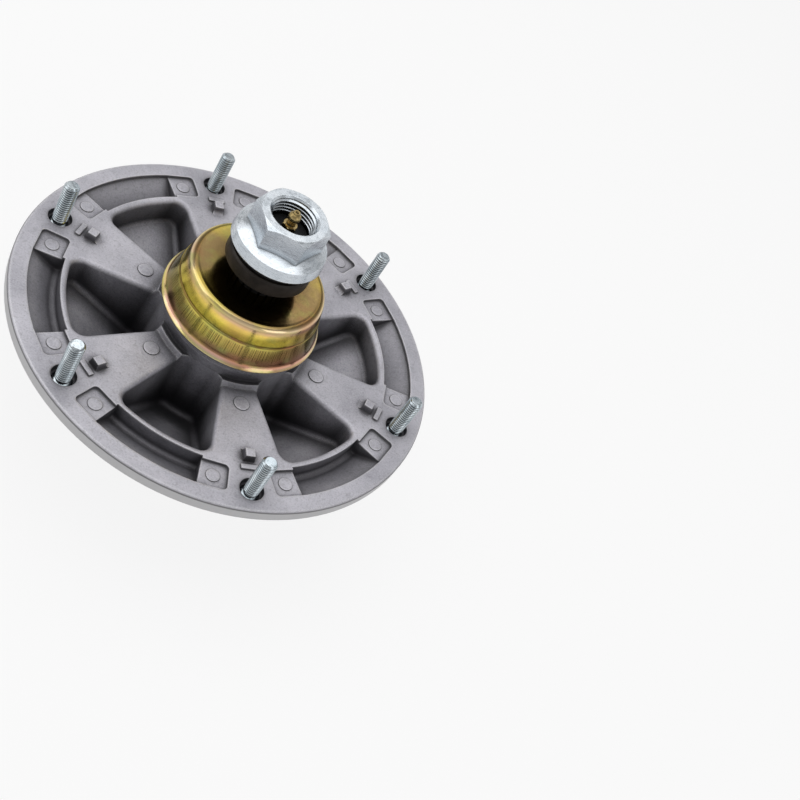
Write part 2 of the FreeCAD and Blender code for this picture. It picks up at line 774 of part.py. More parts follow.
def spindle_shaft():
    body, _ = turned_piece("spindle_shaft", [
        ("0", SHAFT_BASE_Z),
        ("blade_flange_dia / 2 - blade_flange_edge", SHAFT_BASE_Z),
        ("blade_flange_dia / 2", f"{SHAFT_BASE_Z} + blade_flange_edge"),
        ("blade_flange_dia / 2", f"{SHOULDER_BASE_Z} - blade_flange_edge"),
        ("blade_flange_dia / 2 - blade_flange_edge", SHOULDER_BASE_Z),
        ("shoulder_dia / 2", SHOULDER_BASE_Z),
        ("shoulder_dia / 2", LOWER_BEARING_Z),
        (JOURNAL_R, LOWER_BEARING_Z),
        (JOURNAL_R, COVER_BASE_Z),
        ("spline_dia / 2", COVER_BASE_Z),
        ("spline_dia / 2", "spline_top_height"),
        ("thread_dia / 2", "spline_top_height"),
        ("thread_dia / 2", "shaft_end_height - shaft_chamfer"),
        ("thread_dia / 2 - shaft_chamfer", "shaft_end_height"),
        ("0", "shaft_end_height"),
    ])
    hole = "blade_hole_dia / 2"
    revolve(body, "blade_hole", [
        ("0", SHAFT_BASE_Z),
        (f"{hole} + blade_hole_chamfer", SHAFT_BASE_Z),
        (hole, f"{SHAFT_BASE_Z} + blade_hole_chamfer"),
        (hole, f"{SHAFT_BASE_Z} + blade_hole_depth"),
        ("0", f"{SHAFT_BASE_Z} + blade_hole_depth + {hole} / 2"),
    ], cut=True)
    shank = "fitting_thread / 2"
    shank_base = "shaft_end_height - fitting_shank"
    revolve(body, "grease_bore", [
        ("0", f"{GREASE_PORT_Z} - grease_port"),
        ("grease_bore / 2", f"{GREASE_PORT_Z} - grease_port"),
        ("grease_bore / 2", shank_base),
        (shank, shank_base),
        (shank, "shaft_end_height"),
        ("0", "shaft_end_height"),
    ], cut=True)
    port = new_sketch(body, "grease_port", "XZ_Plane")
    circle(port, "0", GREASE_PORT_Z, "grease_port / 2")
    pocket_through(body, "grease_port", port)
    notch = new_sketch(body, "spline_notch", "XY_Plane", "spline_top_height")
    half_notch = "(spline_dia / 2 * tan(90 / spline_count))"
    root = "spline_dia / 2 - spline_depth"
    polygon(notch, [
        (root, f"-{half_notch} / 2"),
        (f"spline_dia / 2 + {CUT_ROOM}", f"-{half_notch}"),
        (f"spline_dia / 2 + {CUT_ROOM}", half_notch),
        (root, f"{half_notch} / 2"),
    ])
    cut = body.newObject("PartDesign::Pocket", "spindle_shaft_spline_notch")
    cut.Profile = notch
    tie(cut, Length=f"spline_top_height - ({COVER_BASE_Z})")
    doc.recompute()
    around(body, "splines", "spline_count", [cut])
    return body


def bearing_spacer():
    """Tube between the inner races, with a grease port through both walls."""
    body, _ = turned_piece("bearing_spacer", [
        (JOURNAL_R, "-lower_seat_depth"),
        (f"{JOURNAL_R} + bearing_spacer_wall", "-lower_seat_depth"),
        (f"{JOURNAL_R} + bearing_spacer_wall", "upper_seat_height"),
        (JOURNAL_R, "upper_seat_height"),
    ])
    port = new_sketch(body, "grease_port", "XZ_Plane")
    circle(port, "0", GREASE_PORT_Z, "grease_port / 2")
    pocket_through(body, "grease_port", port)
    return body


def cover_spacer():
    """Ring that carries the dust cover on the upper inner race."""
    return turned_piece("cover_spacer", [
        (JOURNAL_R, UPPER_BEARING_TOP),
        (f"{JOURNAL_R} + cover_spacer_wall", UPPER_BEARING_TOP),
        (f"{JOURNAL_R} + cover_spacer_wall", COVER_BASE_Z),
        (JOURNAL_R, COVER_BASE_Z),
    ])[0]


def dust_cover():
    """Two-tier pressed cup over the hub, with a flared rim."""
    outline = [
        ("cover_top_dia / 2", "cover_top_height"),
        ("cover_seam_dia / 2", "cover_seam_height"),
        ("cover_seam_dia / 2 + cover_seam_step", "cover_seam_height - cover_seam_step"),
        ("cover_skirt_dia / 2", "cover_skirt_height"),
        ("cover_rim_dia / 2", "cover_rim_height"),
    ]
    hole = "spline_dia / 2 + cover_clearance"
    inside = [(f"{x} - cover_wall", z) for x, z in reversed(outline[1:-1])]
    body, shell = turned_piece("dust_cover", [
        (hole, "cover_top_height"),
        *outline,
        ("cover_rim_dia / 2 - cover_wall", "cover_rim_height"),
        *inside,
        ("cover_top_dia / 2 - cover_wall", COVER_BASE_Z),
        (hole, COVER_BASE_Z),
    ])
    outer = fillet(body, "edge", shell, "cover_edge", corner_rings(shell, (1,)))
    fillet(body, "inner_edge", outer, "cover_edge - cover_wall", corner_rings(shell, (10,)))
    return body


def lower_dust_shield():
    """Pressed shield on the shaft shoulder, with a skirt around the hub's lower end."""
    hole = "shoulder_dia / 2"
    outer = "hub_lower_dia / 2 + shield_gap + shield_wall"
    base = SHOULDER_BASE_Z
    body, shell = turned_piece("lower_dust_shield", [
        (hole, base),
        (outer, base),
        (outer, f"{base} + shield_skirt"),
        (f"{outer} - shield_wall", f"{base} + shield_skirt"),
        (f"{outer} - shield_wall", f"{base} + shield_wall"),
        (hole, f"{base} + shield_wall"),
    ])
    outer_edge = fillet(body, "edge", shell, "shield_edge", corner_rings(shell, (1,)))
    fillet(body, "inner_edge", outer_edge, "shield_edge - shield_wall", corner_rings(shell, (4,)))
    return body


def pulley_collar():
    """Plain collar that stands on the end of the spline."""
    rim = "collar_dia / 2"
    return turned_piece("pulley_collar", [
        (THREAD_HOLE_R, "spline_top_height"),
        (f"{rim} - collar_edge", "spline_top_height"),
        (rim, "spline_top_height + collar_edge"),
        (rim, f"{COLLAR_TOP} - collar_edge"),
        (f"{rim} - collar_edge", COLLAR_TOP),
        (THREAD_HOLE_R, COLLAR_TOP),
    ])[0]


def spring_washer():
    """Conical spring washer between the collar and the nut."""
    rim = "washer_dia / 2"
    return turned_piece("spring_washer", [
        (THREAD_HOLE_R, f"{WASHER_TOP} - washer_thickness"),
        (f"{rim} - washer_edge", COLLAR_TOP),
        (rim, f"{COLLAR_TOP} + washer_edge"),
        (rim, f"{COLLAR_TOP} + washer_thickness"),
        (f"{THREAD_HOLE_R} + washer_crown", WASHER_TOP),
        (THREAD_HOLE_R, WASHER_TOP),
    ])[0]


def top_nut():
    """Hexagon nut with a thick round flange, chamfered at its top."""
    body = new_body("top_nut")
    bore = "thread_dia / 2"
    cone_base = f"{WASHER_TOP} + nut_flange_height"
    sketch = new_sketch(body, "hexagon", "XY_Plane", WASHER_TOP)
    hexagon(sketch, "nut_flats", "nut_turn")
    pad(body, "hexagon", sketch, "nut_height")
    revolve(body, "flange", [
        (bore, WASHER_TOP),
        ("nut_flange_dia / 2", WASHER_TOP),
        ("nut_flange_top_dia / 2", cone_base),
        ("nut_flats / 2", f"{cone_base} + nut_cone_height"),
        (bore, f"{cone_base} + nut_cone_height"),
    ])
    corner = f"(nut_flats / sqrt(3) + {CUT_ROOM})"
    revolve(body, "chamfer", [
        ("nut_flats / 2", NUT_TOP),
        (corner, NUT_TOP),
        (corner, f"{NUT_TOP} - ({corner} - nut_flats / 2) * tan(nut_chamfer_angle)"),
    ], cut=True)
    revolve(body, "bore", [
        ("0", WASHER_TOP),
        (f"{bore} + nut_mouth", WASHER_TOP),
        (bore, f"{WASHER_TOP} + nut_mouth"),
        (bore, f"{NUT_TOP} - nut_mouth"),
        (f"{bore} + nut_mouth", NUT_TOP),
        ("0", NUT_TOP),
    ], cut=True)
    return body


def grease_fitting():
    """Hexagon-based fitting with a ball-shaped head, bored for its check ball and spring."""
    body = new_body("grease_fitting")
    neck = "fitting_neck_dia / 2"
    head = "fitting_head_dia / 2"
    tip = "fitting_tip_dia / 2"
    hex_top = "shaft_end_height + fitting_hex_height"
    sketch = new_sketch(body, "hexagon", "XY_Plane", "shaft_end_height")
    hexagon(sketch, "fitting_flats")
    pad(body, "hexagon", sketch, "fitting_hex_height")
    revolve(body, "shank", [
        ("0", "shaft_end_height - fitting_shank"),
        ("fitting_thread / 2", "shaft_end_height - fitting_shank"),
        ("fitting_thread / 2", "shaft_end_height"),
        ("0", "shaft_end_height"),
    ])
    revolve(body, "head", [
        ("0", hex_top),
        (neck, hex_top),
        (neck, FITTING_HEAD_Z),
        (head, f"{FITTING_HEAD_Z} + fitting_head_rise"),
        (head, f"{FITTING_HEAD_Z} + fitting_head_rise + fitting_head_band"),
        (tip, FITTING_TOP),
        ("0", FITTING_TOP),
    ])
    bore = "fitting_bore / 2"
    mouth = "fitting_mouth / 2"
    roof = f"{FITTING_TOP} - fitting_roof"
    revolve(body, "bore", [
        ("0", "shaft_end_height - fitting_shank"),
        ("fitting_feed_bore / 2", "shaft_end_height - fitting_shank"),
        ("fitting_feed_bore / 2", f"{CHECK_SPRING_Z} - check_spring_wire"),
        (bore, f"{CHECK_SPRING_Z} - check_spring_wire"),
        (bore, f"{roof} - ({bore} - {mouth})"),
        (mouth, roof),
        (mouth, FITTING_TOP),
        ("0", FITTING_TOP),
    ], cut=True)
    return body


def check_ball():
    """Ball that closes the fitting's mouth from inside."""
    ball = doc.addObject("Part::Sphere", "grease_check_ball")
    ball.Label = "grease_check_ball"
    tie(ball, Radius="check_ball_dia / 2")
    tie(ball, **{"Placement.Base.z": CHECK_BALL_Z})
    return ball


def check_spring():
    """Coil spring under the check ball."""
    path = doc.addObject("Part::Helix", "check_spring_path")
    coil = "fitting_bore / 2 - check_ball_clearance - check_spring_wire / 2"
    tie(path, Radius=coil, Height="check_spring_height - check_spring_wire",
        Pitch="(check_spring_height - check_spring_wire) / check_spring_turns")
    wire = doc.addObject("Part::Circle", "check_spring_wire_section")
    tie(wire, Radius="check_spring_wire / 2")
    tie(wire, **{"Placement.Base.x": coil})
    wire.Placement.Rotation = FreeCAD.Rotation(FreeCAD.Vector(1, 0, 0), 90)
    spring = doc.addObject("Part::Sweep", "grease_check_spring")
    spring.Label = "grease_check_spring"
    spring.Sections = [wire]
    spring.Spine = (path, ["Edge1"])
    spring.Solid = True
    spring.Frenet = True
    tie(spring, **{"Placement.Base.z": CHECK_SPRING_Z})
    return spring


def build():
    """Every sub-part of the spindle, in the order of its assembly."""
    return [
        housing(),
        mounting_studs(),
        *bearing("upper", "upper_seat_height", True),
        *bearing("lower", LOWER_BEARING_Z, False),
        retaining_ring(),
        spindle_shaft(),
        bearing_spacer(),
        cover_spacer(),
        dust_cover(),
        lower_dust_shield(),
        pulley_collar(),
        spring_washer(),
        top_nut(),
        grease_fitting(),
        check_ball(),
        check_spring(),
    ]


pieces = build()
doc.recompute()
failed = [item.Name for item in doc.Objects if {"Invalid", "Error"} & set(item.State)]
failed += [item.Label for item in pieces if item.Shape.isNull() or not item.Shape.isValid()]
if failed:
    raise RuntimeError(f"these objects failed: {failed}")
os.makedirs("parts", exist_ok=True)
for piece in pieces:
    piece.Shape.exportStep(os.path.join("parts", f"{piece.Label}.step"))
    box = piece.Shape.BoundBox
    print(f"{piece.Label}: {len(piece.Shape.Solids)} solids, {piece.Shape.Volume:.0f} mm3, "
          f"z {box.ZMin:.2f} to {box.ZMax:.2f}")
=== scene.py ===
import json
import math

import bmesh
import bpy
import numpy as np
from mathutils import Euler, Matrix, Vector

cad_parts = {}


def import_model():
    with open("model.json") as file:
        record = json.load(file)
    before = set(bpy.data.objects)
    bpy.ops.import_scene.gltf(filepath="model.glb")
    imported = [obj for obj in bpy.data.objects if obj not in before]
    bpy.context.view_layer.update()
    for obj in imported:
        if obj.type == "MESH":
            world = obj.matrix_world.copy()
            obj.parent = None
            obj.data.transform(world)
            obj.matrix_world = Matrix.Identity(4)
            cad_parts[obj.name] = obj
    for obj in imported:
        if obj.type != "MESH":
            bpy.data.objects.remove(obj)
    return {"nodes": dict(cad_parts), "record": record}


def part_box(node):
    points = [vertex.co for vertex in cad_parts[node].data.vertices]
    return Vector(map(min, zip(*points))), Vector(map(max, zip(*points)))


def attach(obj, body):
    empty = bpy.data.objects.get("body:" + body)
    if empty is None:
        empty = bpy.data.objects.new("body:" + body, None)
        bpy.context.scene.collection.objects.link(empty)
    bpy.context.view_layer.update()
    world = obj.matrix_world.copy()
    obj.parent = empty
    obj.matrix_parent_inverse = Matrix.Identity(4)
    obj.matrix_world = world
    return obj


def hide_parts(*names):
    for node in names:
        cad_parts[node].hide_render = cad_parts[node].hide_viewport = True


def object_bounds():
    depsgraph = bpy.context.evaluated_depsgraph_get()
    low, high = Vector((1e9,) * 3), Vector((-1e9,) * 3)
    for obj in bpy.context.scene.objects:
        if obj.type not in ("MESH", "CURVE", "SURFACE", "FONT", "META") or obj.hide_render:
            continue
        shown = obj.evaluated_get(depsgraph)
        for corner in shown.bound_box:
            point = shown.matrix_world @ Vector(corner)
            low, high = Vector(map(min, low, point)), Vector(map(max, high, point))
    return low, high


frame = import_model()
cad_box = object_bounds()

MM = 0.001
scene = bpy.context.scene


def box_in_mm(name):
    """Lowest and highest corner of a CAD node, in millimetres."""
    return [[round(value / MM, 3) for value in corner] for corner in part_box(name)]


def foot_and_top(name):
    """Lowest and highest point of a CAD node along Z, in millimetres."""
    low, high = box_in_mm(name)
    return low[2], high[2]


# Sizes of the housing, in millimetres
RIM_RADIUS = box_in_mm("housing")[1][0]
RIM_EDGE = 0.9
PAD_DEPTH = 1.5
SLOT_DEPTH = 9.5
SLOT_INNER = 88.8
SLOT_OUTER = 104.9

# Sizes of the studs, in millimetres
STUD_MOUNT = next(mount["dims"] for mount in frame["record"]["mounts"] if mount["name"] == "deck_studs")
STUD_COUNT = STUD_MOUNT["count"]
STUD_CIRCLE = STUD_MOUNT["pcd_mm"]
STUD_FOOT, STUD_TOP = foot_and_top("mounting_studs")
HEAD_RADIUS = 6.5
HEAD_TOP = STUD_FOOT + 3.2
NECK_RADIUS = 5.2
NECK_TOP = -3.0
KNURL_DEPTH = 0.35
THREAD_FOOT = NECK_TOP + 1.0
THREAD_PITCH = 1.41
THREAD_CREST = STUD_MOUNT["stud_r_mm"]
THREAD_ROOT = THREAD_CREST - 0.8
THREAD_START = 1.2
STUD_TIP = THREAD_CREST - 1.2

# Sizes of the thread inside the nut, above the shaft's end, in millimetres
SHAFT_END = foot_and_top("spindle_shaft")[1]
NUT_PITCH = 2.0
NUT_THREAD_ROOT = 12.0
NUT_THREAD_CREST = 10.95
NUT_THREAD_FOOT = SHAFT_END + 0.3
NUT_THREAD_TOP = foot_and_top("top_nut")[1] - 1.0
NUT_THREAD_START = 0.8
NUT_THREAD_END = 1.2
NUT_SHELL = 0.4

# Sizes of the cup, in millimetres
CUP_FOOT, CUP_TOP = foot_and_top("dust_cover")
CUP_HOLE = 14.1
CUP_WALL = 1.6
DISH_DEPTH = 0.2
BEAD = 3.2
BEAD_RADIUS = 32.97
SEAM_HEIGHT = 28.3
SEAM_RADIUS = 37.5
ROLL = 0.45
ROLL_RADIUS = 42.1

# Sizes of the grease fitting, in millimetres
FITTING_FOOT, FITTING_TOP = foot_and_top("grease_fitting")
SHANK_RADIUS = 3.0
HEX_FLATS = 7.0
HEX_CORNERS = 4.05
HEX_TOP = SHAFT_END + 4.5
FITTING_NECK = 2.2
BALL_HEAD = 2.9
FEED_BORE = 1.1
CHECK_BORE = 1.6
CHECK_FOOT = SHAFT_END + 3.0
MOUTH = 0.8


# Node trees

def node(tree, kind, sockets=None, **settings):
    """Node with its settings made and its sockets filled or linked."""
    made = tree.nodes.new(kind)
    for name, value in settings.items():
        setattr(made, name, value)
    for key, value in (sockets or {}).items():
        socket = made.inputs[key]
        if isinstance(value, bpy.types.NodeSocket):
            tree.links.new(value, socket)
        else:
            socket.default_value = value
    return made


def maths(tree, operation, first, second):
    return node(tree, "ShaderNodeMath", {0: first, 1: second}, operation=operation).outputs[0]


def times(tree, first, second):
    return maths(tree, "MULTIPLY", first, second)


def spread(tree, value, low, high, to_low=0.0, to_high=1.0):
    """Value taken from one range to another, held within the second."""
    return node(tree, "ShaderNodeMapRange", {0: value, 1: low, 2: high, 3: to_low, 4: to_high}).outputs[0]


def spread_mm(tree, length, low, high, to_low=0.0, to_high=1.0):
    """Length taken from a range in millimetres to another range."""
    return spread(tree, length, low * MM, high * MM, to_low, to_high)


def within(tree, length, rise, fall):
    """Share that rises over one pair of lengths in millimetres and falls again over the other."""
    return times(tree, spread_mm(tree, length, *rise), spread_mm(tree, length, *fall, 1.0, 0.0))


def mixed(tree, factor, first, second):
    """Two colours mixed by a factor, each a socket or red, green and blue."""
    colours = [value if isinstance(value, bpy.types.NodeSocket) else (*value, 1) for value in (first, second)]
    made = node(tree, "ShaderNodeMix", {0: factor, 6: colours[0], 7: colours[1]}, data_type="RGBA")
    return made.outputs[2]


def place(tree, stretch=(1, 1, 1)):
    """Object coordinates, stretched along the axes."""
    source = node(tree, "ShaderNodeTexCoord").outputs["Object"]
    return node(tree, "ShaderNodeMapping", {0: source, 3: stretch}).outputs[0]


def split(tree):
    """X, Y and Z of the object coordinates."""
    source = node(tree, "ShaderNodeTexCoord").outputs["Object"]
    return node(tree, "ShaderNodeSeparateXYZ", {0: source}).outputs


def height_in_frame(tree):
    return split(tree)[2]


def radius_in_frame(tree):
    """Distance from the spindle's axis."""
    flat = place(tree, (1, 1, 0))
    return node(tree, "ShaderNodeVectorMath", {0: flat}, operation="LENGTH").outputs["Value"]


def noise(tree, where, scale, detail=3.0, rough=0.5):
    sockets = {"Vector": where, "Scale": scale, "Detail": detail, "Roughness": rough}
    return node(tree, "ShaderNodeTexNoise", sockets).outputs["Fac"]


def around_axis(tree, scale):
    """Noise that changes with the angle around the spindle's axis alone."""
    x, y, _ = split(tree)
    sockets = {"W": maths(tree, "ARCTAN2", y, x), "Scale": scale}
    return node(tree, "ShaderNodeTexNoise", sockets, noise_dimensions="1D").outputs["Fac"]


def ramp(tree, factor, stops):
    """Colour taken from stops of a position and a colour."""
    made = node(tree, "ShaderNodeValToRGB", {0: factor})
    points = made.color_ramp.elements
    while len(points) < len(stops):
        points.new(0.5)
    for point, (position, colour) in zip(points, stops):
        point.position = position
        point.color = (*colour, 1)
    return made.outputs[0]


def bump(tree, height, strength, depth, normal=None):
    """Normal bent by a height, over a depth in millimetres."""
    sockets = {"Height": height, "Strength": strength, "Distance": depth * MM}
    if normal is not None:
        sockets["Normal"] = normal
    return node(tree, "ShaderNodeBump", sockets).outputs[0]


def shade(tree, distance):
    """Openness of a surface within a distance in millimetres, 1 where nothing is near."""
    return node(tree, "ShaderNodeAmbientOcclusion", {"Distance": distance * MM}, samples=8).outputs["AO"]


def rounding(tree, radius):
    """Normal that rounds the edges by a radius in millimetres, and how far an edge is near."""
    normal = node(tree, "ShaderNodeBevel", {"Radius": radius * MM}, samples=4).outputs[0]
    flat = node(tree, "ShaderNodeNewGeometry").outputs["Normal"]
    along = node(tree, "ShaderNodeVectorMath", {0: normal, 1: flat}, operation="DOT_PRODUCT").outputs["Value"]
    return normal, spread(tree, along, 0.86, 0.995, 1.0, 0.0)


def material(name, **constants):
    """New material with its shader's constant values, as (material, tree, shader)."""
    made = bpy.data.materials.new(name)
    made.use_nodes = True
    tree = made.node_tree
    shader = tree.nodes["Principled BSDF"]
    for key, value in constants.items():
        shader.inputs[key.replace("_", " ")].default_value = value
    return made, tree, shader


def wire(tree, shader, **links):
    for key, socket in links.items():
        tree.links.new(socket, shader.inputs[key.replace("_", " ")])


# Finishes

def cast_aluminium():
    """Rough cast skin, with painted shade in the corners and pockets and a painted highlight along the edges.
    """
    made, tree, shader = material("cast_aluminium", Metallic=0.6)
    where = place(tree)
    grain = noise(tree, where, 1100, 4, 0.65)
    pits = noise(tree, where, 380, 3, 0.6)
    cloud = noise(tree, where, 32, 4, 0.6)
    rounded, edge = rounding(tree, 1.7)
    tone = mixed(tree, spread(tree, cloud, 0.3, 0.7), (0.345, 0.34, 0.38), (0.575, 0.565, 0.615))
    tone = mixed(tree, spread(tree, grain, 0.52, 0.72, 0.0, 0.55), tone, (0.62, 0.61, 0.64))
    tone = mixed(tree, spread(tree, grain, 0.30, 0.47, 0.5, 0.0), tone, (0.20, 0.195, 0.21))
    tone = mixed(tree, spread(tree, pits, 0.25, 0.45, 0.5, 0.0), tone, (0.24, 0.235, 0.25))
    # Painted highlight: the tone is lightened near the rounded edges.
    tone = mixed(tree, times(tree, edge, 0.85), tone, (0.82, 0.81, 0.84))
    tone = rim_side(tree, tone)
    tone = ring_painted_shade(tree, tone)
    tone = pocket_painted_shade(tree, tone)
    wire(tree, shader, Base_Color=tone, Roughness=spread(tree, cloud, 0.3, 0.7, 0.46, 0.58))
    rough = maths(tree, "ADD", grain, times(tree, pits, 0.8))
    wire(tree, shader, Normal=bump(tree, rough, 0.5, 0.3, rounded))
    return made


def rim_side(tree, tone):
    """Side of the rim in a paler tone, with a painted shade line under its rounded edge."""
    radius = radius_in_frame(tree)
    side = spread_mm(tree, radius, RIM_RADIUS - 0.4, RIM_RADIUS - 0.1)
    tone = mixed(tree, side, tone, (0.56, 0.555, 0.565))
    # Painted shade: a dark line just under the rim's rounded edge.
    under = within(tree, height_in_frame(tree), (-RIM_EDGE - 0.7, -RIM_EDGE - 0.3),
                   (-RIM_EDGE + 0.1, -RIM_EDGE + 0.5))
    line = times(tree, under, spread_mm(tree, radius, RIM_RADIUS - 0.8, RIM_RADIUS - 0.4, 0.0, 0.75))
    return mixed(tree, line, tone, (0.10, 0.098, 0.104))


def ring_painted_shade(tree, tone):
    """Painted shade on the floors of the slots in the ring and in all the narrow corners."""
    painted_shade_tone = (0.07, 0.068, 0.074)
    sunk = within(tree, height_in_frame(tree), (-SLOT_DEPTH - 1.0, -SLOT_DEPTH - 0.3),
                  (-PAD_DEPTH - 0.8, -PAD_DEPTH - 0.2))
    across = within(tree, radius_in_frame(tree), (SLOT_INNER + 0.5, SLOT_INNER + 2.7),
                    (SLOT_OUTER + 0.1, SLOT_OUTER + 0.7))
    # Painted shade on the slot floors, then in the narrow corners found by occlusion.
    tone = mixed(tree, times(tree, times(tree, sunk, across), 0.3), tone, painted_shade_tone)
    return mixed(tree, spread(tree, shade(tree, 5), 0.6, 0.99, 0.8, 0.0), tone, painted_shade_tone)


def pocket_painted_shade(tree, tone):
    """Painted shade in the pockets inside the ring, darkest where they are deep and on their steep sides."""
    inward = spread_mm(tree, radius_in_frame(tree), SLOT_INNER - 1.8, SLOT_INNER - 0.4, 1.0, 0.45)
    # Painted shade from occlusion near the pocket walls and the hub.
    near = times(tree, inward, spread(tree, shade(tree, 17), 0.6, 0.99, 0.97, 0.0))
    tone = mixed(tree, near, tone, (0.06, 0.058, 0.064))
    facing = node(tree, "ShaderNodeNewGeometry").outputs["Normal"]
    upward = node(tree, "ShaderNodeSeparateXYZ", {0: facing}).outputs[2]
    steep = times(tree, inward, spread(tree, upward, 0.5, 0.95, 1.0, 0.55))
    # Deeper painted shade on the steep sides of the deep pockets.
    deep = times(tree, steep, spread(tree, shade(tree, 35), 0.15, 0.8, 1.0, 0.0))
    return mixed(tree, deep, tone, (0.02, 0.019, 0.022))


def plated_steel():
    """Clear zinc on the nut: bluish, finely drawn, worn on the faces, with painted shade in the corners and
    the thread's roots and a painted highlight along the edges.
    """
    made, tree, shader = material("zinc_steel", Metallic=1.0)
    cloud = noise(tree, place(tree), 60, 3)
    drawn = noise(tree, place(tree, (1, 1, 6)), 260, 3, 0.6)
    speck = noise(tree, place(tree, (1, 1, 3)), 600, 4, 0.65)
    rounded, edge = rounding(tree, 0.3)
    tone = mixed(tree, spread(tree, cloud, 0.35, 0.65), (0.59, 0.64, 0.69), (0.71, 0.75, 0.79))
    tone = mixed(tree, spread(tree, drawn, 0.35, 0.5, 0.45, 0.0), tone, (0.32, 0.35, 0.38))
    tone = mixed(tree, spread(tree, speck, 0.30, 0.45, 0.5, 0.0), tone, (0.26, 0.28, 0.30))
    # Painted shade in the corners, a painted highlight along the edges, and painted shade in the thread's
    # roots.
    tone = mixed(tree, spread(tree, shade(tree, 5), 0.5, 0.9, 0.6, 0.0), tone, (0.14, 0.15, 0.16))
    tone = mixed(tree, times(tree, edge, 0.7), tone, (0.88, 0.91, 0.93))
    tone = mixed(tree, spread(tree, shade(tree, 0.9), 0.5, 0.95, 0.95, 0.0), tone, (0.03, 0.033, 0.036))
    wire(tree, shader, Base_Color=tone, Roughness=spread(tree, drawn, 0.3, 0.7, 0.20, 0.32))
    wire(tree, shader, Normal=bump(tree, drawn, 0.05, 0.1, rounded))
    return made


def rolled_steel():
    """Clear zinc on a rolled thread: bluish, streaked along the bolt, with a painted highlight along the
    edges and painted black shade in the roots.
    """
    made, tree, shader = material("rolled_zinc", Metallic=1.0)
    cloud = noise(tree, place(tree), 120, 3)
    streak = noise(tree, place(tree, (1, 1, 0.2)), 420, 2)
    rounded, edge = rounding(tree, 0.3)
    tone = mixed(tree, spread(tree, cloud, 0.35, 0.65), (0.42, 0.48, 0.52), (0.58, 0.63, 0.66))
    tone = mixed(tree, spread(tree, streak, 0.36, 0.48, 0.45, 0.0), tone, (0.16, 0.19, 0.21))
    # Painted highlight along the thread's edges, then painted black shade in its roots.
    tone = mixed(tree, times(tree, edge, 0.65), tone, (0.86, 0.90, 0.92))
    tone = mixed(tree, spread(tree, shade(tree, 1.0), 0.5, 0.95, 0.97, 0.0), tone, (0.015, 0.018, 0.02))
    wire(tree, shader, Base_Color=tone, Roughness=spread(tree, streak, 0.3, 0.7, 0.14, 0.26), Normal=rounded)
    return made


def yellow_zinc():
    """Yellow chromate film whose tint runs from olive and pink at the skirt to brown gold on top; some bands
    of it by height are painted highlights, reflections and shade, and it is darkened as painted shade where
    other parts are near.
    """
    made, tree, shader = material("yellow_zinc", Metallic=1.0)
    height = height_in_frame(tree)
    film = noise(tree, place(tree), 26, 3, 0.5)
    patch = noise(tree, place(tree, (1, 1, 2.5)), 60, 3, 0.55)
    speck = noise(tree, place(tree), 700, 2)
    # Part of these tints is the film's own colour and part is painted light: the bright yellow band just
    # above the seam and the pale pink-gold on the bead are painted highlights, the dark band at the seam is
    # painted shade, and the darker band under the bead and the dark brown top are painted reflections.
    film_tints_and_painted_light = [(0.0, (0.70, 0.62, 0.34)), (0.045, (0.70, 0.60, 0.34)), (0.06, (0.84, 0.56, 0.42)),
             (0.08, (0.76, 0.46, 0.36)), (0.11, (0.28, 0.15, 0.08)), (0.22, (0.34, 0.22, 0.10)),
             (0.32, (0.46, 0.38, 0.10)), (0.44, (0.52, 0.42, 0.11)), (0.52, (0.68, 0.58, 0.14)),
             (0.54, (0.18, 0.12, 0.03)), (0.57, (0.18, 0.12, 0.03)), (0.60, (1.0, 0.80, 0.10)),
             (0.72, (1.0, 0.80, 0.12)), (0.81, (0.98, 0.70, 0.18)), (0.87, (0.78, 0.50, 0.28)),
             (0.91, (0.50, 0.36, 0.20)), (0.95, (0.80, 0.62, 0.38)), (1.0, (0.20, 0.13, 0.04))]
    tone = ramp(tree, spread_mm(tree, height, CUP_FOOT, CUP_TOP + 0.1), film_tints_and_painted_light)
    tone = mixed(tree, spread(tree, film, 0.52, 0.66, 0.0, 0.65), tone, (0.52, 0.22, 0.12))
    tone = mixed(tree, spread(tree, film, 0.36, 0.48, 0.5, 0.0), tone, (0.70, 0.58, 0.09))
    tone = mixed(tree, spread(tree, patch, 0.54, 0.68, 0.0, 0.5), tone, (0.36, 0.42, 0.12))
    scored = press_marks(tree, height)
    tone = mixed(tree, scored, tone, (0.12, 0.08, 0.02))
    # Painted dark reflection on the flat top.
    top = spread_mm(tree, height, CUP_TOP - 0.6, CUP_TOP - 0.2, 0.0, 0.5)
    tone = mixed(tree, top, tone, (0.13, 0.08, 0.02))
    # Painted shade where other parts are near.
    tone = mixed(tree, spread(tree, shade(tree, 14), 0.35, 0.9, 0.8, 0.0), tone, (0.05, 0.03, 0.01))
    wire(tree, shader, Base_Color=tone, Roughness=spread(tree, speck, 0.3, 0.7, 0.13, 0.21))
    dents = maths(tree, "SUBTRACT", times(tree, speck, 0.3), scored)
    wire(tree, shader, Normal=bump(tree, dents, 0.12, 0.1))
    return made


def press_marks(tree, height):
    """Upright marks under the seam, each of its own length."""
    reach = times(tree, around_axis(tree, 23), 6.0 * MM)
    lowered = maths(tree, "ADD", height, reach)
    start = spread_mm(tree, lowered, SEAM_HEIGHT - 5.8, SEAM_HEIGHT - 3.8)
    band = times(tree, start, spread_mm(tree, height, SEAM_HEIGHT - 1.9, SEAM_HEIGHT - 1.3, 1.0, 0.0))
    return times(tree, band, spread(tree, around_axis(tree, 70), 0.50, 0.58, 0.0, 0.8))


